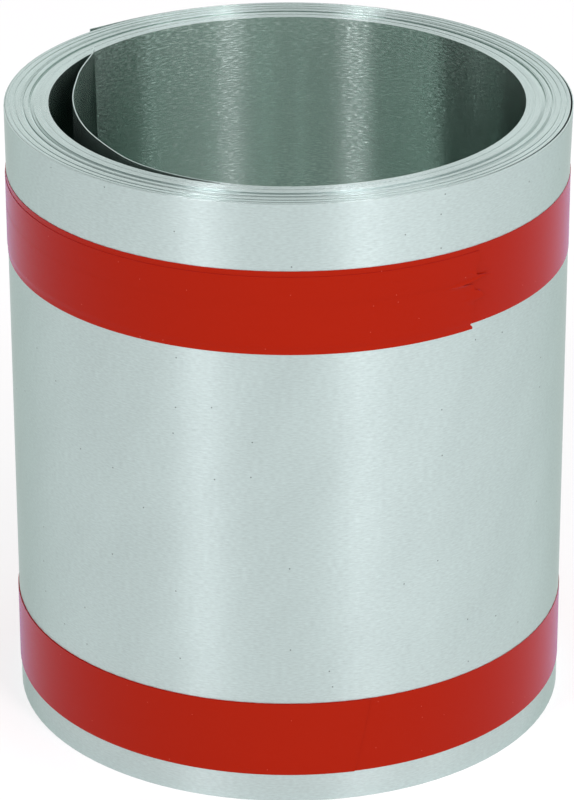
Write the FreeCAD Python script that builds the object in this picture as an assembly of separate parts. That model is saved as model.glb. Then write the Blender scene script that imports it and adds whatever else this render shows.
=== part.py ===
import FreeCAD, Part
import math
import os

# A small roll of aluminium flashing that stands on its end: one long thin strip wound round an open
# bore, and two wraps of red tape that hold it shut. Millimetres. +Z is up along the roll's axis, and the
# origin is in the middle of the end that the roll stands on. Angles are in degrees, counterclockwise
# from +X as seen from above, and the strip runs inwards clockwise.

# The wound strip
strip_width = 152.4
strip_thickness = 0.254
roll_radius = 67.1
bore_radius = 56.2
turn_pitch = 0.277

# Turns that sit a little lower than their neighbours, on both ends of the roll
turns_per_band = 3
low_turn_depth = 0.3

# The tail: the strip's inner end, which leaves the bore's wall, bows inwards and rests near the wall
# again. Each station is an angle, how far the tail stands off the wall there, and how far it has risen.
# Its lower edge leans further in, by the lean at its free end and evenly less towards its exit.
tail_exit_angle = 263.0
tail_lean = 3.0
tail_stations = (
    (235.0, 1.4, 0.2),
    (210.0, 4.6, 0.6),
    (180.0, 5.7, 1.0),
    (163.5, 4.5, 1.3),
    (147.0, 0.3, 1.5),
)

# The tapes: each is one piece, wrapped once round the roll and then on over itself. Its inset is from the
# nearer end of the roll to the edge of its first layer.
tape_width = 19.05
tape_thickness = 0.13
tape_start_angle = 155.0
upper_tape_inset = 15.8
upper_tape_end_angle = 308.0
upper_tape_skew = 1.4
lower_tape_inset = 7.6
lower_tape_end_angle = 285.0
lower_tape_skew = 0.1

up = FreeCAD.Vector(0, 0, 1)
axis_point = FreeCAD.Vector(0, 0, 0)


def polar(radius, angle, height=0.0):
    """A point at a radius, an angle and a height."""
    turn = math.radians(angle)
    return FreeCAD.Vector(radius * math.cos(turn), radius * math.sin(turn), height)


def ring(inner, outer, height, low):
    """A ring round the roll's axis, with its lower face at a height."""
    base = FreeCAD.Vector(0, 0, low)
    return Part.makeCylinder(outer, height, base).cut(Part.makeCylinder(inner, height, base))


def bore_face():
    """The hollow's plan. Its wall steps out by one strip where the tail has left it."""
    quarters = [
        polar(bore_radius + strip_thickness * quarter / 4, tail_exit_angle + 90 * quarter)
        for quarter in range(5)
    ]
    first_half = Part.Arc(quarters[0], quarters[1], quarters[2]).toShape()
    second_half = Part.Arc(quarters[2], quarters[3], quarters[4]).toShape()
    step = Part.makeLine(quarters[4], quarters[0])
    return Part.Face(Part.Wire([first_half, second_half, step]))


def groove(inner, mouth, depth):
    """A ring with a V section, one turn wide at its mouth. A negative depth goes down from the mouth."""
    corners = [
        FreeCAD.Vector(inner, 0, mouth),
        FreeCAD.Vector(inner + turn_pitch, 0, mouth),
        FreeCAD.Vector(inner + turn_pitch / 2, 0, mouth + depth),
    ]
    section = Part.Face(Part.makePolygon(corners + corners[:1]))
    return section.revolve(axis_point, up, 360)


def low_turns():
    """The grooves on both ends of the roll, over the turns that sit lower than their neighbours."""
    band = turn_pitch * turns_per_band
    band_count = int((roll_radius - bore_radius) / band)
    grooves = []
    for band_number in range(1, band_count):
        inner = bore_radius + band * band_number
        grooves.append(groove(inner, 0.0, low_turn_depth))
        grooves.append(groove(inner, strip_width, -low_turn_depth))
    return grooves


def tail():
    """The strip's inner end, from where it leaves the wall to its free edge."""
    stations = ((tail_exit_angle, -strip_thickness, 0.0),) + tail_stations
    free_end_angle = stations[-1][0]

    def long_edge(inset, height, lean):
        points = []
        for angle, stand_off, rise in stations:
            leaning = lean * (tail_exit_angle - angle) / (tail_exit_angle - free_end_angle)
            points.append(polar(bore_radius - stand_off - inset - leaning, angle, height + rise))
        leaving = polar(1.0, tail_exit_angle - 90)
        arriving = points[-1] - points[-2]
        arriving.normalize()
        curve = Part.BSplineCurve()
        curve.interpolate(Points=points, InitialTangent=leaving, FinalTangent=arriving)
        return curve.toShape()

    outer_low = long_edge(0.0, 0.0, tail_lean)
    outer_high = long_edge(0.0, strip_width, 0.0)
    inner_low = long_edge(strip_thickness, 0.0, tail_lean)
    inner_high = long_edge(strip_thickness, strip_width, 0.0)
    corners = (outer_low, inner_low, inner_high, outer_high)
    faces = [
        Part.makeRuledSurface(edge, corners[(number + 1) % 4])
        for number, edge in enumerate(corners)
    ]
    for end in (0, 1):
        loop = [edge.valueAt(edge.ParameterRange[end]) for edge in corners]
        faces.append(Part.Face(Part.makePolygon(loop + loop[:1])))
    solid = Part.makeSolid(Part.makeShell(faces))
    solid.fix(1e-5, 1e-5, 1e-4)
    return solid


def coil():
    """The whole wound strip, with its turns closed up and its tail in the bore."""
    roll = Part.makeCylinder(roll_radius, strip_width)
    roll = roll.cut(bore_face().extrude(up * strip_width))
    roll = roll.cut(low_turns())
    return roll.fuse(tail())


def tape(height, end_angle, skew):
    """One piece of tape: a whole turn, and an outer layer that has slipped down by the skew."""
    middle = roll_radius + tape_thickness
    under_layer = ring(roll_radius, middle, tape_width, height)
    over_turn = end_angle - tape_start_angle
    over_layer = Part.makeCylinder(
        middle + tape_thickness, tape_width, axis_point + up * (height - skew), up, over_turn
    )
    over_layer.rotate(axis_point, up, tape_start_angle)
    over_layer = over_layer.cut(Part.makeCylinder(middle, strip_width))
    return under_layer.fuse(over_layer)


upper_tape_height = strip_width - upper_tape_inset - tape_width
nodes = {
    "coil": coil(),
    "upper_tape": tape(upper_tape_height, upper_tape_end_angle, upper_tape_skew),
    "lower_tape": tape(lower_tape_inset, lower_tape_end_angle, lower_tape_skew),
}

os.makedirs("parts", exist_ok=True)
for name, shape in nodes.items():
    shape.exportStep("parts/" + name + ".step")
    print(name, "solids", len(shape.Solids), "volume", round(shape.Volume, 1), "valid", shape.isValid())
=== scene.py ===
import math

import bmesh
import bpy
from mathutils import Matrix, Vector


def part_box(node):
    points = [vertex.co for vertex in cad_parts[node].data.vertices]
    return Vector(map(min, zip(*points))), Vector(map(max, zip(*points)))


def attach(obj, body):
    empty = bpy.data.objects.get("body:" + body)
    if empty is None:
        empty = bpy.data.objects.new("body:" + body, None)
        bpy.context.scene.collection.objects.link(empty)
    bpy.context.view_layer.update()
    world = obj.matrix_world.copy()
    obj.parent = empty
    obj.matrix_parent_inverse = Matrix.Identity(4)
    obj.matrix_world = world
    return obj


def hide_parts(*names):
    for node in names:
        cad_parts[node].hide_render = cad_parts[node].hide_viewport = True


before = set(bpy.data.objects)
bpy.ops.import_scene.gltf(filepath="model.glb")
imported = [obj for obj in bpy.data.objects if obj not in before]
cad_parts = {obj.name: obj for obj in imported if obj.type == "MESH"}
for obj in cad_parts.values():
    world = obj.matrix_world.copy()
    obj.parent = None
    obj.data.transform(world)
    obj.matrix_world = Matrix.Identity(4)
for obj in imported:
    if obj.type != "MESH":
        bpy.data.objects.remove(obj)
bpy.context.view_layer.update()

mm = 0.001
hairsBreadth = 0.01 * mm      # less than this is no distance
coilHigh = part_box("coil")[1]


def addNode(tree, kind, links=None, **settings):
    # one node with its settings; each link is a value, a socket, or a node whose first output is meant
    node = tree.nodes.new(kind)
    for name, value in settings.items():
        setattr(node, name, value)
    for socketName, value in (links or {}).items():
        if isinstance(value, bpy.types.Node):
            value = next(out for out in value.outputs if out.enabled)
        if isinstance(value, bpy.types.NodeSocket):
            tree.links.new(value, node.inputs[socketName])
        else:
            node.inputs[socketName].default_value = value
    return node


def shapeCurve(node, points):
    # gives a float curve its few points
    curve = node.mapping.curves[0]
    curve.points[0].location = points[0]
    curve.points[1].location = points[-1]
    for x, y in points[1:-1]:
        curve.points.new(x, y)
    node.mapping.update()


def plainPiece(holder, name):
    # the evaluated object as a plain mesh of its own
    shown = holder.evaluated_get(bpy.context.evaluated_depsgraph_get())
    mesh = bpy.data.meshes.new_from_object(shown)
    mesh.name = name
    piece = bpy.data.objects.new(name, mesh)
    bpy.context.scene.collection.objects.link(piece)
    bpy.data.objects.remove(holder)
    return piece


def linearColour(hexColour):
    channels = [int(hexColour[place:place + 2], 16) / 255 for place in (0, 2, 4)]
    return [c / 12.92 if c <= 0.04045 else ((c + 0.055) / 1.055) ** 2.4 for c in channels] + [1.0]


def newMaterial(name):
    material = bpy.data.materials.new(name)
    material.use_nodes = True
    material.node_tree.nodes.clear()
    return material, material.node_tree


# Cold-rolled aluminium strip, mill finish. It was rolled with its other side against a second strip, so
# the side inside the roll is bright and keeps sharp edges in its reflections, and the side outside is
# satin. On both, fine lines run along the strip, and light spreads across them: up and down the wall.
# The tail's outer face is smoother, and its colour is darker as painted shade for the dark gap that it
# reflects, so it shows as a clear dark grey.
# The slit edge is sheared and a little rounded.
rolledAluminium = {
    "brightSide": {
        "name": "brightRolledAluminium",
        "colour": "BED0C9",
        "grazingTint": "B8C6C0",
        "roughness": 0.232,
        "anisotropy": 1.0,
        "grainLength": 1.5 * mm,
        "grainWidth": 0.34 * mm,     # real rolling lines are finer: as coarse as it needs to show
        "grainTilt": 0.25,
        "stainWidth": 9 * mm,
        "stainLength": 30 * mm,
        "stainDarkness": 0.04,
        "streakLength": 20 * mm,
        "streakWidth": 0.8 * mm,
        "streakDarkness": 0.03,
        "speckSpacing": 14 * mm,
        "speckSize": 0.1 * mm,
        "speckDarkness": 0.15,
    },
    "satinSide": {
        "name": "satinRolledAluminium",
        "colour": "C4D4D2",
        "grazingTint": "D2DAD6",
        "roughness": 0.33,
        "anisotropy": 0.90,
        "grainLength": 2.5 * mm,
        "grainWidth": 0.34 * mm,
        "grainTilt": 0.10,
        "stainWidth": 13 * mm,
        "stainLength": 34 * mm,
        "stainDarkness": 0.055,
        "streakLength": 1.3 * mm,
        "streakWidth": 0.32 * mm,
        "streakDarkness": 0.14,
        "speckSpacing": 9 * mm,
        "speckSize": 0.24 * mm,
        "speckDarkness": 0.60,
    },
    # the tail's outer face: smoother, with its colour and grazing tint darkened as painted shade for
    # the dark gap it reflects
    "tailBack": {
        "name": "smoothAluminiumPaintedShade",
        "colour": "B0C0BC",
        "grazingTint": "A8B4B0",
        "roughness": 0.25,
        "anisotropy": 0.90,
        "grainLength": 4.0 * mm,
        "grainWidth": 0.40 * mm,
        "grainTilt": 0.06,
        "stainWidth": 9 * mm,
        "stainLength": 30 * mm,
        "stainDarkness": 0.05,
        "streakLength": 14 * mm,
        "streakWidth": 0.7 * mm,
        "streakDarkness": 0.05,
        "speckSpacing": 30 * mm,
        "speckSize": 0.1 * mm,
        "speckDarkness": 0.2,
    },
    "slitEdge": {
        "name": "slitAluminiumEdge",
        "colour": "BECDCB",
        "grazingTint": "F0F4F2",
        "roughness": 0.27,
        "anisotropy": 0.0,
        "grainLength": 2.0 * mm,
        "grainWidth": 0.20 * mm,
        "grainTilt": 0.02,
        "stainWidth": 9 * mm,
        "stainLength": 30 * mm,
        "stainDarkness": 0.03,
        "streakLength": 9 * mm,
        "streakWidth": 0.5 * mm,
        "streakDarkness": 0.08,
        "speckSpacing": 30 * mm,
        "speckSize": 0.1 * mm,
        "speckDarkness": 0.2,
    },
}
stainSlant = -28      # degrees that the stains lean away from the strip's width


def stretchedNoise(tree, uv, length, width, roughness=0.5):
    # noise that is drawn out along the strip, for lines and streaks
    place = addNode(tree, "ShaderNodeMapping", {"Vector": uv, "Scale": (1 / length, 1 / width, 1)})
    return addNode(tree, "ShaderNodeTexNoise", {
        "Vector": place, "Scale": 1.0, "Detail": 2.0, "Roughness": roughness,
    })


def scatteredSpecks(tree, uv, spacing, size, strength, plainShare):
    # small round specks, at most one in each cell; this share of the cells stays plain
    cells = addNode(tree, "ShaderNodeTexVoronoi", {
        "Vector": uv, "Scale": 1 / spacing, "Randomness": 1.0,
    }, voronoi_dimensions="2D")
    chance = addNode(tree, "ShaderNodeSeparateColor", {"Color": cells.outputs["Color"]})
    hasSpeck = addNode(tree, "ShaderNodeMath", {0: chance, 1: plainShare}, operation="GREATER_THAN")
    speck = addNode(tree, "ShaderNodeMapRange", {
        "Value": cells.outputs["Distance"],
        "From Min": 0.5 * size / spacing, "From Max": size / spacing,
        "To Min": strength, "To Max": 0.0,
    })
    return addNode(tree, "ShaderNodeMath", {0: speck, 1: hasSpeck}, operation="MULTIPLY")


def makeRolledAluminium(spec):
    material, tree = newMaterial(spec["name"])
    uv = addNode(tree, "ShaderNodeUVMap", uv_map="stripUV")
    # each rolling line tilts the face a little up or down, never sideways
    grain = stretchedNoise(tree, uv, spec["grainLength"], spec["grainWidth"])
    tilt = addNode(tree, "ShaderNodeMapRange", {
        "Value": grain, "From Min": 0.2, "From Max": 0.8,
        "To Min": -spec["grainTilt"], "To Max": spec["grainTilt"],
    }, clamp=False)
    normal = addNode(tree, "ShaderNodeNewGeometry").outputs["Normal"]
    upwards = addNode(tree, "ShaderNodeCombineXYZ", {"Z": tilt})
    tilted = addNode(tree, "ShaderNodeVectorMath", {0: normal, 1: upwards}, operation="ADD")
    tilted = addNode(tree, "ShaderNodeVectorMath", {0: tilted}, operation="NORMALIZE")
    # faint stains that lie across the strip, streaks along it, and a few tiny dark specks
    stainPlace = addNode(tree, "ShaderNodeMapping", {
        "Vector": uv,
        "Rotation": (0, 0, math.radians(stainSlant)),
        "Scale": (spec["stainWidth"], spec["stainLength"], 1),
    }, vector_type="TEXTURE")
    stain = addNode(tree, "ShaderNodeTexNoise", {
        "Vector": stainPlace, "Scale": 1.0, "Detail": 3.0, "Roughness": 0.55,
    })
    streak = stretchedNoise(tree, uv, spec["streakLength"], spec["streakWidth"])
    specks = scatteredSpecks(tree, uv, spec["speckSpacing"], spec["speckSize"],
                             spec["speckDarkness"], plainShare=0.83)
    # the shade is 1 where the metal is clean
    shade = addNode(tree, "ShaderNodeMath", {0: 1.0, 1: specks}, operation="SUBTRACT")
    for noise, darkness in ((stain, spec["stainDarkness"]), (streak, spec["streakDarkness"])):
        noiseShade = addNode(tree, "ShaderNodeMapRange", {
            "Value": noise, "From Min": 0.3, "From Max": 0.7, "To Min": 1 - darkness, "To Max": 1.0,
        })
        shade = addNode(tree, "ShaderNodeMath", {0: shade, 1: noiseShade}, operation="MULTIPLY")
    colour = addNode(tree, "ShaderNodeVectorMath", {
        0: linearColour(spec["colour"])[:3], "Scale": shade,
    }, operation="SCALE")
    shader = addNode(tree, "ShaderNodeBsdfPrincipled", {
        "Base Color": colour,
        "Metallic": 1.0,
        "Roughness": spec["roughness"],
        "Specular Tint": linearColour(spec["grazingTint"]),
        "Anisotropic": spec["anisotropy"],
        "Anisotropic Rotation": 0.25,      # a quarter turn: light spreads across the lines
        "Normal": tilted,
        "Tangent": addNode(tree, "ShaderNodeTangent", direction_type="UV_MAP", uv_map="stripUV"),
    })
    addNode(tree, "ShaderNodeOutputMaterial", {"Surface": shader})
    return material


# Red packing tape: polypropylene film, cast smooth, so it is glossy, and the metal's lines show through
# it faintly
tapeFilm = {
    "colour": "961902",
    "paleColour": "D87060",
    "roughness": 0.25,
    "index": 1.155,                  # a weaker gloss than polypropylene's usual 1.49
    "haze": 0.30,
    "hazeRoughness": 0.3,
    "hazeTint": "6C66FF",
    "lineLength": 5 * mm,
    "lineWidth": 0.35 * mm,
    "lineDepth": 0.030 * mm,
    "speckSpacing": 6 * mm,
    "speckSize": 0.13 * mm,
}


def makeRedTapeFilm(spec):
    material, tree = newMaterial("glossyRedPolypropyleneTape")
    uv = addNode(tree, "ShaderNodeUVMap", uv_map="stripUV")
    line = stretchedNoise(tree, uv, spec["lineLength"], spec["lineWidth"], roughness=0.6)
    bump = addNode(tree, "ShaderNodeBump", {
        "Height": line, "Strength": 1.0, "Distance": spec["lineDepth"],
    })
    # a few pale specks of dust under the film, which keep most of its colour
    dust = scatteredSpecks(tree, uv, spec["speckSpacing"], spec["speckSize"], 0.6, plainShare=0.8)
    colour = addNode(tree, "ShaderNodeMix", {
        "Factor": dust,
        6: linearColour(spec["colour"]),
        7: linearColour(spec["paleColour"]),
    }, data_type="RGBA")
    shader = addNode(tree, "ShaderNodeBsdfPrincipled", {
        "Base Color": colour,
        "Normal": bump,
        "Roughness": spec["roughness"],
        "IOR": spec["index"],
        "Sheen Weight": spec["haze"],
        "Sheen Tint": linearColour(spec["hazeTint"]),
        "Sheen Roughness": spec["hazeRoughness"],
    })
    addNode(tree, "ShaderNodeOutputMaterial", {"Surface": shader})
    return material


aluminium = {side: makeRolledAluminium(spec) for side, spec in rolledAluminium.items()}
redTapeFilm = makeRedTapeFilm(tapeFilm)
print("materials made")


# The coil: one strip from the free end of its tail, through the bore, to its outer end. It runs
# outwards counterclockwise, seen from above. A turn is counted from the tail's free end.
coil = {
    "stripWidth": 152.4 * mm,
    "stripThickness": 0.254 * mm,
    "boreRadius": 56.2 * mm,
    "outerRadius": coilHigh.x,
    "woundTurns": 38.646,
    "tailEndAngle": 147.0,
    "tailExitAngle": 263.0,
    "tailStandOff": 5.7 * mm,
    "tailRise": 1.5 * mm,
    "tailClimbPower": 1.3,
    "tailLean": 3.0 * mm,
    "lipLift": 1.2 * mm,
    "wander": 0.06 * mm,
    "edgeRounding": 0.028 * mm,
    "pointsPerTurn": 104,
    "levelCuts": 4,
    "seed": 4,
    # where the strip can bend across its width: share of its levels, share of its width
    "levelShape": [(0.0, 0.0), (0.2, 0.024), (0.4, 0.905), (0.6, 0.95), (0.8, 0.98), (1.0, 1.0)],
    # how far the tail stands off the wall, from its free end to where it leaves the wall
    "tailShape": [(0.0, 0.05), (0.142, 0.79), (0.284, 1.0), (0.543, 0.807), (0.759, 0.246), (1.0, 0.0)],
    # how far the top of the last turn stands off, as a share of the lift at its free corner
    "lipShape": [(0.0, 0.0), (0.2, 0.08), (0.45, 0.10), (0.53, 0.32), (0.62, 0.32), (0.68, 0.06),
                 (0.92, 0.04), (1.0, 1.0)],
    # where turns stand back from the roll's ends: turns along the strip, depth, turns across
    "lowTurns": [
        (7.2, 0.08 * mm, 1.2),
        (14.3, 0.20 * mm, 1.2),
        (16.2, 0.50 * mm, 2.0),
        (22.3, 0.36 * mm, 1.5),
        (24.3, 0.12 * mm, 1.0),
        (29.6, 0.16 * mm, 1.2),
        (34.6, 0.14 * mm, 1.0),
    ],
}
coil["tailTurns"] = (coil["tailExitAngle"] - coil["tailEndAngle"]) / 360
coil["turnPitch"] = ((coil["outerRadius"] - coil["boreRadius"] - coil["stripThickness"])
                     / coil["woundTurns"])
coil["outerEndAngle"] = (coil["tailExitAngle"] + 360 * coil["woundTurns"]) % 360


def spiralPath(tree, given, spec):
    # points at even angles, moved onto a spiral, with the tail drawn in from the bore's wall
    allTurns = addNode(tree, "ShaderNodeMath", {0: given["Tail Turns"], 1: given["Wound Turns"]})
    steps = addNode(tree, "ShaderNodeMath", {0: allTurns, 1: given["Points Per Turn"]},
                    operation="MULTIPLY")
    steps = addNode(tree, "ShaderNodeMath", {0: steps}, operation="ROUND")
    pointCount = addNode(tree, "ShaderNodeMath", {0: steps, 1: 1.0})
    line = addNode(tree, "GeometryNodeMeshLine", {"Count": pointCount})
    path = addNode(tree, "GeometryNodeMeshToCurve", {"Mesh": line})
    pointNumber = addNode(tree, "GeometryNodeInputIndex")
    share = addNode(tree, "ShaderNodeMath", {0: pointNumber, 1: steps}, operation="DIVIDE")
    turns = addNode(tree, "ShaderNodeMath", {0: share, 1: allTurns}, operation="MULTIPLY")
    angle = addNode(tree, "ShaderNodeMath", {0: turns, 1: 2 * math.pi, 2: given["Start Angle"]},
                    operation="MULTIPLY_ADD")
    pastTail = addNode(tree, "ShaderNodeMath", {0: turns, 1: given["Tail Turns"]}, operation="SUBTRACT")
    pastTail = addNode(tree, "ShaderNodeMath", {0: pastTail, 1: 0.0}, operation="MAXIMUM")
    tailShare = addNode(tree, "ShaderNodeMath", {0: turns, 1: given["Tail Turns"]},
                        operation="DIVIDE", use_clamp=True)
    tailShape = addNode(tree, "ShaderNodeFloatCurve", {"Value": tailShare})
    shapeCurve(tailShape, spec["tailShape"])
    standOff = addNode(tree, "ShaderNodeMath", {0: tailShape, 1: given["Tail Stand Off"]},
                       operation="MULTIPLY")
    wallRadius = addNode(tree, "ShaderNodeMath", {
        0: pastTail, 1: given["Turn Pitch"], 2: given["Bore Radius"],
    }, operation="MULTIPLY_ADD")
    halfThick = addNode(tree, "ShaderNodeMath", {0: given["Strip Thickness"], 1: 0.5},
                        operation="MULTIPLY")
    radius = addNode(tree, "ShaderNodeMath", {0: wallRadius, 1: halfThick})
    radius = addNode(tree, "ShaderNodeMath", {0: radius, 1: standOff}, operation="SUBTRACT")
    cosine = addNode(tree, "ShaderNodeMath", {0: angle}, operation="COSINE")
    sine = addNode(tree, "ShaderNodeMath", {0: angle}, operation="SINE")
    place = addNode(tree, "ShaderNodeCombineXYZ", {
        "X": addNode(tree, "ShaderNodeMath", {0: radius, 1: cosine}, operation="MULTIPLY"),
        "Y": addNode(tree, "ShaderNodeMath", {0: radius, 1: sine}, operation="MULTIPLY"),
        "Z": addNode(tree, "ShaderNodeMath", {0: given["Strip Width"], 1: 0.5}, operation="MULTIPLY"),
    })
    path = addNode(tree, "GeometryNodeSetPosition", {"Geometry": path, "Position": place})
    path = addNode(tree, "GeometryNodeSetCurveNormal", {"Curve": path}, mode="Z_UP")
    carried = addNode(tree, "GeometryNodeCaptureAttribute", {"Geometry": path})
    carried.capture_items.new("FLOAT", "turns")
    carried.capture_items.new("FLOAT", "length")
    length = addNode(tree, "GeometryNodeSplineParameter").outputs["Length"]
    tree.links.new(turns.outputs[0], carried.inputs[1])
    tree.links.new(length, carried.inputs[2])
    return carried.outputs, allTurns


def stripSection(tree, given, spec, halfWidth, wallHeight):
    # an upright rectangle with rounded corners, cut into levels where it can bend. The sweep turns it
    # over, so its top is at its lowest Y.
    section = addNode(tree, "GeometryNodeCurvePrimitiveQuadrilateral", {
        "Width": given["Strip Thickness"], "Height": given["Strip Width"],
    })
    section = addNode(tree, "GeometryNodeFilletCurve", {
        "Curve": section, "Count": 2, "Radius": given["Edge Rounding"],
    }, mode="POLY")
    spot = addNode(tree, "ShaderNodeSeparateXYZ", {0: addNode(tree, "GeometryNodeInputPosition")})
    spotUp = addNode(tree, "ShaderNodeMath", {0: spot.outputs["Y"], 1: -1.0}, operation="MULTIPLY")
    nextPoint = addNode(tree, "GeometryNodeOffsetPointInCurve", {"Offset": 1})
    nextUp = addNode(tree, "GeometryNodeFieldAtIndex", {
        "Value": spotUp, "Index": nextPoint.outputs["Point Index"],
    })
    rise = addNode(tree, "ShaderNodeMath", {0: nextUp, 1: spotUp}, operation="SUBTRACT")
    rise = addNode(tree, "ShaderNodeMath", {0: rise}, operation="ABSOLUTE")
    isLongSide = addNode(tree, "ShaderNodeMath", {0: rise, 1: halfWidth}, operation="GREATER_THAN")
    cuts = addNode(tree, "ShaderNodeMath", {0: isLongSide, 1: given["Level Cuts"]},
                   operation="MULTIPLY")
    section = addNode(tree, "GeometryNodeSubdivideCurve", {"Curve": section, "Cuts": cuts})
    share = addNode(tree, "ShaderNodeMath", {0: spotUp, 1: given["Strip Width"]}, operation="DIVIDE")
    share = addNode(tree, "ShaderNodeMath", {0: share, 1: 0.5})
    level = addNode(tree, "ShaderNodeFloatCurve", {"Value": share})
    shapeCurve(level, spec["levelShape"])
    level = addNode(tree, "ShaderNodeMath", {0: 0.5, 1: level}, operation="SUBTRACT")
    level = addNode(tree, "ShaderNodeMath", {0: level, 1: given["Strip Width"]}, operation="MULTIPLY")
    fromMiddle = addNode(tree, "ShaderNodeMath", {0: spotUp}, operation="ABSOLUTE")
    onLongSide = addNode(tree, "ShaderNodeMath", {0: fromMiddle, 1: hairsBreadth})
    onLongSide = addNode(tree, "ShaderNodeMath", {0: onLongSide, 1: wallHeight}, operation="LESS_THAN")
    section = addNode(tree, "GeometryNodeSetPosition", {
        "Geometry": section,
        "Selection": onLongSide,
        "Position": addNode(tree, "ShaderNodeCombineXYZ", {"X": spot.outputs["X"], "Y": level}),
    })
    kept = addNode(tree, "GeometryNodeCaptureAttribute", {"Geometry": section})
    kept.capture_items.new("FLOAT", "across")
    kept.capture_items.new("FLOAT", "up")
    tree.links.new(spot.outputs["X"], kept.inputs[1])
    tree.links.new(spotUp.outputs[0], kept.inputs[2])
    return kept.outputs


def sinkTowardsMiddle(tree, given, spec, stripTurns, end):
    # turns that stand back from both ends of the roll, on top of a small wander along the strip
    noise = addNode(tree, "ShaderNodeTexNoise", {
        "W": addNode(tree, "ShaderNodeMath", {0: stripTurns, 1: given["Seed"]}),
        "Scale": 1.3,
        "Detail": 1.0,
    }, noise_dimensions="1D")
    standBack = addNode(tree, "ShaderNodeMath", {0: noise, 1: given["Wander"]}, operation="MULTIPLY")
    for turn, depth, spread in spec["lowTurns"]:
        away = addNode(tree, "ShaderNodeMath", {0: stripTurns, 1: turn}, operation="SUBTRACT")
        away = addNode(tree, "ShaderNodeMath", {0: away}, operation="ABSOLUTE")
        dip = addNode(tree, "ShaderNodeMapRange", {
            "Value": away, "From Min": 0.0, "From Max": spread, "To Min": depth, "To Max": 0.0,
        }, interpolation_type="SMOOTHSTEP")
        standBack = addNode(tree, "ShaderNodeMath", {0: standBack, 1: dip})
    fromMiddle = addNode(tree, "ShaderNodeMath", {0: end}, operation="ABSOLUTE")
    nearEnd = addNode(tree, "ShaderNodeMapRange", {
        "Value": fromMiddle, "From Min": 0.9, "From Max": 1.0,
    })
    sink = addNode(tree, "ShaderNodeMath", {0: standBack, 1: nearEnd}, operation="MULTIPLY")
    return addNode(tree, "ShaderNodeMath", {0: sink, 1: end}, operation="MULTIPLY")


def liftOfLip(tree, given, spec, stripTurns, allTurns, end):
    # the last turn's top edge stands off, most of all at its free corner
    lastTurn = addNode(tree, "ShaderNodeMath", {0: stripTurns, 1: allTurns}, operation="SUBTRACT")
    lastTurn = addNode(tree, "ShaderNodeMath", {0: lastTurn, 1: 1.0}, use_clamp=True)
    lip = addNode(tree, "ShaderNodeFloatCurve", {"Value": lastTurn})
    shapeCurve(lip, spec["lipShape"])
    nearTop = addNode(tree, "ShaderNodeMapRange", {"Value": end, "From Min": 0.8, "From Max": 1.0})
    lip = addNode(tree, "ShaderNodeMath", {0: lip, 1: nearTop}, operation="MULTIPLY")
    return addNode(tree, "ShaderNodeMath", {0: lip, 1: given["Lip Lift"]}, operation="MULTIPLY")


def giveSidesMaterials(tree, given, strip, across, onTail):
    # everything is slit edge at first, then each wide side gets its own finish
    strip = addNode(tree, "GeometryNodeSetMaterial", {
        "Geometry": strip, "Material": given["Slit Edge"],
    })
    outerSide = addNode(tree, "ShaderNodeMath", {0: given["Strip Thickness"], 1: 0.49},
                        operation="MULTIPLY")
    innerSide = addNode(tree, "ShaderNodeMath", {0: given["Strip Thickness"], 1: -0.49},
                        operation="MULTIPLY")
    outerOnTail = addNode(tree, "ShaderNodeMath", {0: across, 1: onTail}, operation="MULTIPLY")
    sides = {
        "Satin Side": addNode(tree, "ShaderNodeMath", {0: across, 1: outerSide},
                              operation="GREATER_THAN"),
        # the tail's outer face gets the material whose darker colour is painted shade
        "Tail Back": addNode(tree, "ShaderNodeMath", {0: outerOnTail, 1: hairsBreadth},
                             operation="GREATER_THAN"),
        "Bright Side": addNode(tree, "ShaderNodeMath", {0: across, 1: innerSide},
                               operation="LESS_THAN"),
    }
    for side, isSide in sides.items():
        strip = addNode(tree, "GeometryNodeSetMaterial", {
            "Geometry": strip, "Selection": isSide, "Material": given[side],
        })
    return strip


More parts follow.
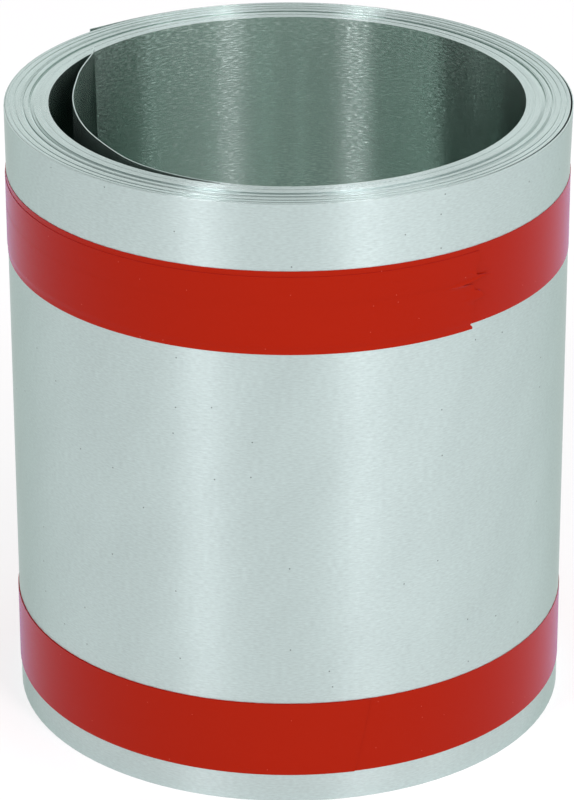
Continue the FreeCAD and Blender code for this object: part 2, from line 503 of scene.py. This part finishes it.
def makeWoundStripTree(spec, inputs):
    tree = bpy.data.node_groups.new("woundStrip", "GeometryNodeTree")
    for name, (kind, value) in inputs.items():
        tree.interface.new_socket(name, in_out="INPUT", socket_type=kind)
    tree.interface.new_socket("Geometry", in_out="OUTPUT", socket_type="NodeSocketGeometry")
    given = addNode(tree, "NodeGroupInput").outputs

    # the sweep, which carries its turns and length along the path, and its place in the section
    (path, stripTurns, stripLength, *_), allTurns = spiralPath(tree, given, spec)
    halfWidth = addNode(tree, "ShaderNodeMath", {0: given["Strip Width"], 1: 0.5}, operation="MULTIPLY")
    wallHeight = addNode(tree, "ShaderNodeMath", {0: halfWidth, 1: given["Edge Rounding"]},
                         operation="SUBTRACT")
    section, across, up, *_ = stripSection(tree, given, spec, halfWidth, wallHeight)
    strip = addNode(tree, "GeometryNodeCurveToMesh", {
        "Curve": path, "Profile Curve": section, "Fill Caps": True,
    })

    # a flat map of the strip, along it and round its section, for the rolling lines
    aroundSection = addNode(tree, "ShaderNodeMath", {0: up, 1: across})
    mapPlace = addNode(tree, "ShaderNodeCombineXYZ", {"X": stripLength, "Y": aroundSection})
    strip = addNode(tree, "GeometryNodeStoreNamedAttribute", {
        "Geometry": strip, "Name": "stripUV", "Value": mapPlace,
    }, data_type="FLOAT2", domain="CORNER")

    # end runs from -1 at the foot to 1 at the top
    height = addNode(tree, "ShaderNodeMath", {0: up, 1: halfWidth})
    end = addNode(tree, "ShaderNodeMapRange", {
        "Value": height, "From Max": given["Strip Width"], "To Min": -1.0, "To Max": 1.0,
    }, clamp=False)
    sink = sinkTowardsMiddle(tree, given, spec, stripTurns, end)
    lip = liftOfLip(tree, given, spec, stripTurns, allTurns, end)

    # the tail climbs towards its free end and leans in at its foot
    onTail = addNode(tree, "ShaderNodeMapRange", {
        "Value": stripTurns, "From Max": given["Tail Turns"], "To Min": 1.0, "To Max": 0.0,
    })
    climb = addNode(tree, "ShaderNodeMath", {0: onTail, 1: spec["tailClimbPower"]}, operation="POWER")
    climb = addNode(tree, "ShaderNodeMath", {0: climb, 1: given["Tail Rise"]}, operation="MULTIPLY")
    belowTop = addNode(tree, "ShaderNodeMapRange", {
        "Value": height, "From Max": given["Strip Width"], "To Min": 1.0, "To Max": 0.0,
    })
    lean = addNode(tree, "ShaderNodeMath", {0: onTail, 1: belowTop}, operation="MULTIPLY")
    lean = addNode(tree, "ShaderNodeMath", {0: lean, 1: given["Tail Lean"]}, operation="MULTIPLY")

    position = addNode(tree, "GeometryNodeInputPosition")
    flat = addNode(tree, "ShaderNodeVectorMath", {0: position, 1: (1, 1, 0)}, operation="MULTIPLY")
    outwards = addNode(tree, "ShaderNodeVectorMath", {0: flat}, operation="NORMALIZE")
    push = addNode(tree, "ShaderNodeMath", {0: lip, 1: lean}, operation="SUBTRACT")
    sideways = addNode(tree, "ShaderNodeVectorMath", {0: outwards, "Scale": push}, operation="SCALE")
    rise = addNode(tree, "ShaderNodeMath", {0: climb, 1: sink}, operation="SUBTRACT")
    upwards = addNode(tree, "ShaderNodeCombineXYZ", {"Z": rise})
    move = addNode(tree, "ShaderNodeVectorMath", {0: sideways, 1: upwards}, operation="ADD")
    strip = addNode(tree, "GeometryNodeSetPosition", {"Geometry": strip, "Offset": move})

    # smooth faces, with sharp edges where a wall ends and round the strip's cut ends
    strip = addNode(tree, "GeometryNodeSetShadeSmooth", {"Geometry": strip}, domain="FACE")
    fromMiddle = addNode(tree, "ShaderNodeMath", {0: up}, operation="ABSOLUTE")
    isWallEnd = addNode(tree, "ShaderNodeMath", {0: fromMiddle, 1: wallHeight, 2: 0.2 * hairsBreadth},
                        operation="COMPARE")
    edgeAngle = addNode(tree, "GeometryNodeInputMeshEdgeAngle")
    isCorner = addNode(tree, "ShaderNodeMath", {0: edgeAngle, 1: math.radians(50)},
                       operation="GREATER_THAN")
    isSharp = addNode(tree, "ShaderNodeMath", {0: isWallEnd, 1: isCorner}, operation="MAXIMUM")
    strip = addNode(tree, "GeometryNodeSetShadeSmooth", {
        "Geometry": strip, "Selection": isSharp, "Shade Smooth": False,
    }, domain="EDGE")
    strip = addNode(tree, "GeometryNodeRealizeInstances", {"Geometry": strip})
    strip = giveSidesMaterials(tree, given, strip, across, onTail)
    addNode(tree, "NodeGroupOutput", {0: strip})
    return tree


def makeCoil(spec):
    number = "NodeSocketFloat"
    inputs = {
        "Strip Width": (number, spec["stripWidth"]),
        "Strip Thickness": (number, spec["stripThickness"]),
        "Bore Radius": (number, spec["boreRadius"]),
        "Turn Pitch": (number, spec["turnPitch"]),
        "Wound Turns": (number, spec["woundTurns"]),
        "Tail Turns": (number, spec["tailTurns"]),
        "Start Angle": (number, math.radians(spec["tailEndAngle"])),
        "Tail Stand Off": (number, spec["tailStandOff"]),
        "Tail Rise": (number, spec["tailRise"]),
        "Tail Lean": (number, spec["tailLean"]),
        "Lip Lift": (number, spec["lipLift"]),
        "Wander": (number, spec["wander"]),
        "Points Per Turn": ("NodeSocketInt", spec["pointsPerTurn"]),
        "Level Cuts": ("NodeSocketInt", spec["levelCuts"]),
        "Edge Rounding": (number, spec["edgeRounding"]),
        "Seed": ("NodeSocketInt", spec["seed"]),
        "Bright Side": ("NodeSocketMaterial", aluminium["brightSide"]),
        "Satin Side": ("NodeSocketMaterial", aluminium["satinSide"]),
        "Tail Back": ("NodeSocketMaterial", aluminium["tailBack"]),
        "Slit Edge": ("NodeSocketMaterial", aluminium["slitEdge"]),
    }
    tree = makeWoundStripTree(spec, inputs)
    holder = bpy.data.objects.new("coilHolder", bpy.data.meshes.new("coilHolder"))
    bpy.context.scene.collection.objects.link(holder)
    modifier = holder.modifiers.new("woundStrip", "NODES")
    modifier.node_group = tree
    for socket in tree.interface.items_tree:
        if socket.in_out == "INPUT":
            modifier[socket.identifier] = inputs[socket.name][1]
    return plainPiece(holder, "coil_strip")


coilStrip = makeCoil(coil)
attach(coilStrip, "root")
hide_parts("coil")
print("coil wound:", len(coilStrip.data.polygons), "faces")


# The tapes: each starts at the back, over the strip's outer end, goes once round counterclockwise and
# on over itself, and slips down a little on the way. A torn end is given from its lower edge to its
# upper edge: share of the width, how far that point of the tear reaches in mm, and how much of the
# lift it takes.
tapes = {
    "thickness": 0.13 * mm,
    "width": 19.05 * mm,
    "startAngle": 155.0,
    "columnsPerTurn": 180,
    "rows": 16,
    "stepTurns": 0.006,
    "bridgeDegrees": 4,
    "endLift": 0.55 * mm,
    "endLiftLength": 5.0 * mm,
    "bands": {
        "upper_tape": {
            "foot": 117.65 * mm,
            "slip": 1.35 * mm,
            "endAngle": 308.0,
            "tear": [
                (0.0, 0.9, 0.1), (0.03, 0.9, 0.1), (0.06, 0.3, 0.1), (0.14, 0.8, 0.1),
                (0.25, 1.1, 0.1), (0.36, 1.0, 0.1), (0.39, 3.6, 0.7), (0.43, 3.7, 0.7),
                (0.48, 2.9, 0.5), (0.51, 1.3, 0.1), (0.585, 1.0, 0.0), (0.61, -2.7, 0.6),
                (0.67, 5.6, 1.0), (0.70, 1.7, 0.4), (0.79, 1.6, 0.1), (0.89, 2.9, 0.1),
                (1.0, 2.4, 0.1),
            ],
        },
        "lower_tape": {
            "foot": 7.30 * mm,
            "slip": 0.10 * mm,
            "endAngle": 285.0,
            "tear": [(0.0, -2.0, 0.1), (0.5, 0.1, 0.1), (1.0, 1.8, 0.2)],
        },
    },
}


def smoothStep(value):
    value = min(max(value, 0.0), 1.0)
    return value * value * (3 - 2 * value)


def coilRadiusAt(angle):
    # the coil's outer face: it falls by one strip just past the outer end, and the film bridges that
    pastEnd = (angle - coil["outerEndAngle"]) % 360
    bridge = 1 - smoothStep(pastEnd / tapes["bridgeDegrees"])
    return coil["outerRadius"] - coil["turnPitch"] * (1 - pastEnd / 360) * (1 - bridge)


def tearAt(tear, share):
    # how far the tear reaches and how much of the lift it takes, at a share of the film's width
    for low, high in zip(tear, tear[1:]):
        if share <= high[0]:
            part = (share - low[0]) / (high[0] - low[0])
            return [low[item] + (high[item] - low[item]) * part for item in (1, 2)]
    return tear[-1][1:]


def makeTape(name, band, material):
    turnCount = 1 + (band["endAngle"] - tapes["startAngle"]) / 360
    aroundOnce = 2 * math.pi * coil["outerRadius"]
    columns = round(turnCount * tapes["columnsPerTurn"])
    # the second layer steps up from the strip onto the first one between these shares of its width
    slipped = band["slip"] / tapes["width"]
    stepLow, stepHigh = 0.8 * slipped, 1.5 * slipped
    shares = {row / tapes["rows"] for row in range(tapes["rows"] + 1)}
    shares |= {point[0] for point in band["tear"]}
    shares |= {stepLow, stepHigh}
    form = bmesh.new()
    mapLayer = form.loops.layers.uv.new("stripUV")
    places = {}
    grid = []
    for share in sorted(shares):
        reach, raised = tearAt(band["tear"], share)
        reach *= mm
        row = []
        for column in range(columns + 1):
            along = (turnCount * aroundOnce + reach) * column / columns
            turn = along / aroundOnce
            angle = tapes["startAngle"] + 360 * turn
            height = band["foot"] - band["slip"] * turn + tapes["width"] * share
            onItself = smoothStep((turn - 1) / tapes["stepTurns"])
            onItself *= smoothStep((share - stepLow) / (stepHigh - stepLow))
            toEnd = turnCount * aroundOnce + reach - along
            lift = raised * tapes["endLift"] * smoothStep(1 - toEnd / tapes["endLiftLength"])
            radius = coilRadiusAt(angle) + tapes["thickness"] * (1 + onItself) + lift
            turned = math.radians(angle)
            vertex = form.verts.new((radius * math.cos(turned), radius * math.sin(turned), height))
            places[vertex] = (along, tapes["width"] * share)
            row.append(vertex)
        grid.append(row)
    for lower, upper in zip(grid, grid[1:]):
        for column in range(columns):
            face = form.faces.new((lower[column], lower[column + 1], upper[column + 1], upper[column]))
            face.smooth = True
            for corner in face.loops:
                corner[mapLayer].uv = places[corner.vert]
    mesh = bpy.data.meshes.new(name)
    form.to_mesh(mesh)
    form.free()
    mesh.materials.append(material)
    holder = bpy.data.objects.new(name + "Holder", mesh)
    bpy.context.scene.collection.objects.link(holder)
    thicken = holder.modifiers.new("filmThickness", "SOLIDIFY")
    thicken.thickness = tapes["thickness"]
    thicken.offset = -1
    film = plainPiece(holder, name + "_film")
    film.data.set_sharp_from_angle(angle=math.radians(40))
    return film


for name, band in tapes["bands"].items():
    tape = makeTape(name, band, redTapeFilm)
    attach(tape, "root")
    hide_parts(name)
    print(name, "wrapped:", len(tape.data.polygons), "faces")


# The studio: a floor of matt white paper, which shows no gloss, a pale surround, two upright soft boxes
# and a wide one for fill, all in front
studio = {
    "floorSize": 12.0,
    "floorColour": "B3B3B3",
    "floorGlow": 0.57,                       # a lit white table, so shadows on it are faint
    # the surround: brighter towards the right and at eye level, darker overhead
    "surroundLeft": 0.68,
    "surroundRight": 1.24,
    "surroundBack": 1.35,
    "surroundOverhead": 0.46,
    "boxDistance": 1.5,
    "aimPoint": (0, 0, 0.1),
    "boxColour": (1.0, 0.92, 0.97),
    # each soft box: the side it stands on in degrees, the height of its middle, its width, its height
    # and its power
    "boxes": {
        "leftBox": (-126.6, 1.22, 0.35, 0.8, 12.9),
        "rightBox": (-60.0, 1.22, 0.30, 0.8, 8.6),
        "fillBox": (-40.0, 1.3, 1.2, 1.2, 10.0),
    },
}


def makeFloor(spec):
    half = spec["floorSize"] / 2
    mesh = bpy.data.meshes.new("floor")
    corners = [(-half, -half, 0), (half, -half, 0), (half, half, 0), (-half, half, 0)]
    mesh.from_pydata(corners, [], [(0, 1, 2, 3)])
    floor = bpy.data.objects.new("floor", mesh)
    bpy.context.scene.collection.objects.link(floor)
    material, tree = newMaterial("whitePaperFloor")
    shader = addNode(tree, "ShaderNodeBsdfPrincipled", {
        "Base Color": linearColour(spec["floorColour"]),
        "Roughness": 0.9,
        "Specular IOR Level": 0.0,
        "Emission Color": (1, 1, 1, 1),
        "Emission Strength": spec["floorGlow"],
    })
    addNode(tree, "ShaderNodeOutputMaterial", {"Surface": shader})
    mesh.materials.append(material)


def makeSurround(spec):
    world = bpy.data.worlds.new("paleSurround")
    world.use_nodes = True
    tree = world.node_tree
    tree.nodes.clear()
    direction = addNode(tree, "ShaderNodeTexCoord").outputs["Generated"]
    direction = addNode(tree, "ShaderNodeSeparateXYZ", {0: direction})
    sideways = addNode(tree, "ShaderNodeMapRange", {
        "Value": direction.outputs["X"], "From Min": -1.0, "From Max": 1.0,
        "To Min": spec["surroundLeft"], "To Max": spec["surroundRight"],
    })
    overhead = addNode(tree, "ShaderNodeMapRange", {
        "Value": direction.outputs["Z"], "From Min": 0.3, "From Max": 0.8,
        "To Min": 1.0, "To Max": spec["surroundOverhead"],
    }, interpolation_type="SMOOTHSTEP")
    behind = addNode(tree, "ShaderNodeMapRange", {
        "Value": direction.outputs["Y"], "From Min": 0.2, "From Max": 0.8,
        "To Min": 1.0, "To Max": spec["surroundBack"],
    }, interpolation_type="SMOOTHSTEP")
    strength = addNode(tree, "ShaderNodeMath", {0: sideways, 1: overhead}, operation="MULTIPLY")
    strength = addNode(tree, "ShaderNodeMath", {0: strength, 1: behind}, operation="MULTIPLY")
    sky = addNode(tree, "ShaderNodeBackground", {"Color": (1, 1, 1, 1), "Strength": strength})
    addNode(tree, "ShaderNodeOutputWorld", {"Surface": sky})
    bpy.context.scene.world = world


def makeSoftBoxes(spec):
    for name, (side, middle, width, tall, power) in spec["boxes"].items():
        lamp = bpy.data.lights.new(name, "AREA")
        lamp.shape = "RECTANGLE"
        lamp.size = width
        lamp.size_y = tall
        lamp.energy = power
        lamp.color = spec["boxColour"]
        box = bpy.data.objects.new(name, lamp)
        turned = math.radians(side)
        away = spec["boxDistance"]
        box.location = (away * math.cos(turned), away * math.sin(turned), middle)
        aim = Vector(spec["aimPoint"]) - box.location
        box.rotation_euler = aim.to_track_quat("-Z", "Y").to_euler()
        bpy.context.scene.collection.objects.link(box)


# The camera: a long lens in front of the roll, a little above it and tilted down
view = {
    "lens": 187.62,
    "sensor": 36.0,
    "standOff": 0.92242,
    "height": 0.50144,
    "tiltDown": 24.88,
    "pan": 0.018,
    "roll": -0.132,
}


def makeCamera(spec):
    lens = bpy.data.cameras.new("camera")
    lens.lens = spec["lens"]
    lens.sensor_width = spec["sensor"]
    camera = bpy.data.objects.new("camera", lens)
    camera.location = (0, -spec["standOff"], spec["height"])
    aim = Matrix.Rotation(math.radians(90 - spec["tiltDown"]), 3, "X")
    aim = aim @ Matrix.Rotation(math.radians(spec["pan"]), 3, "Y")
    aim = aim @ Matrix.Rotation(math.radians(spec["roll"]), 3, "Z")
    camera.rotation_euler = aim.to_euler()
    bpy.context.scene.collection.objects.link(camera)
    bpy.context.scene.camera = camera
    bpy.context.scene.view_settings.view_transform = "Standard"


makeFloor(studio)
makeSurround(studio)
makeSoftBoxes(studio)
makeCamera(view)
print("studio and camera set")
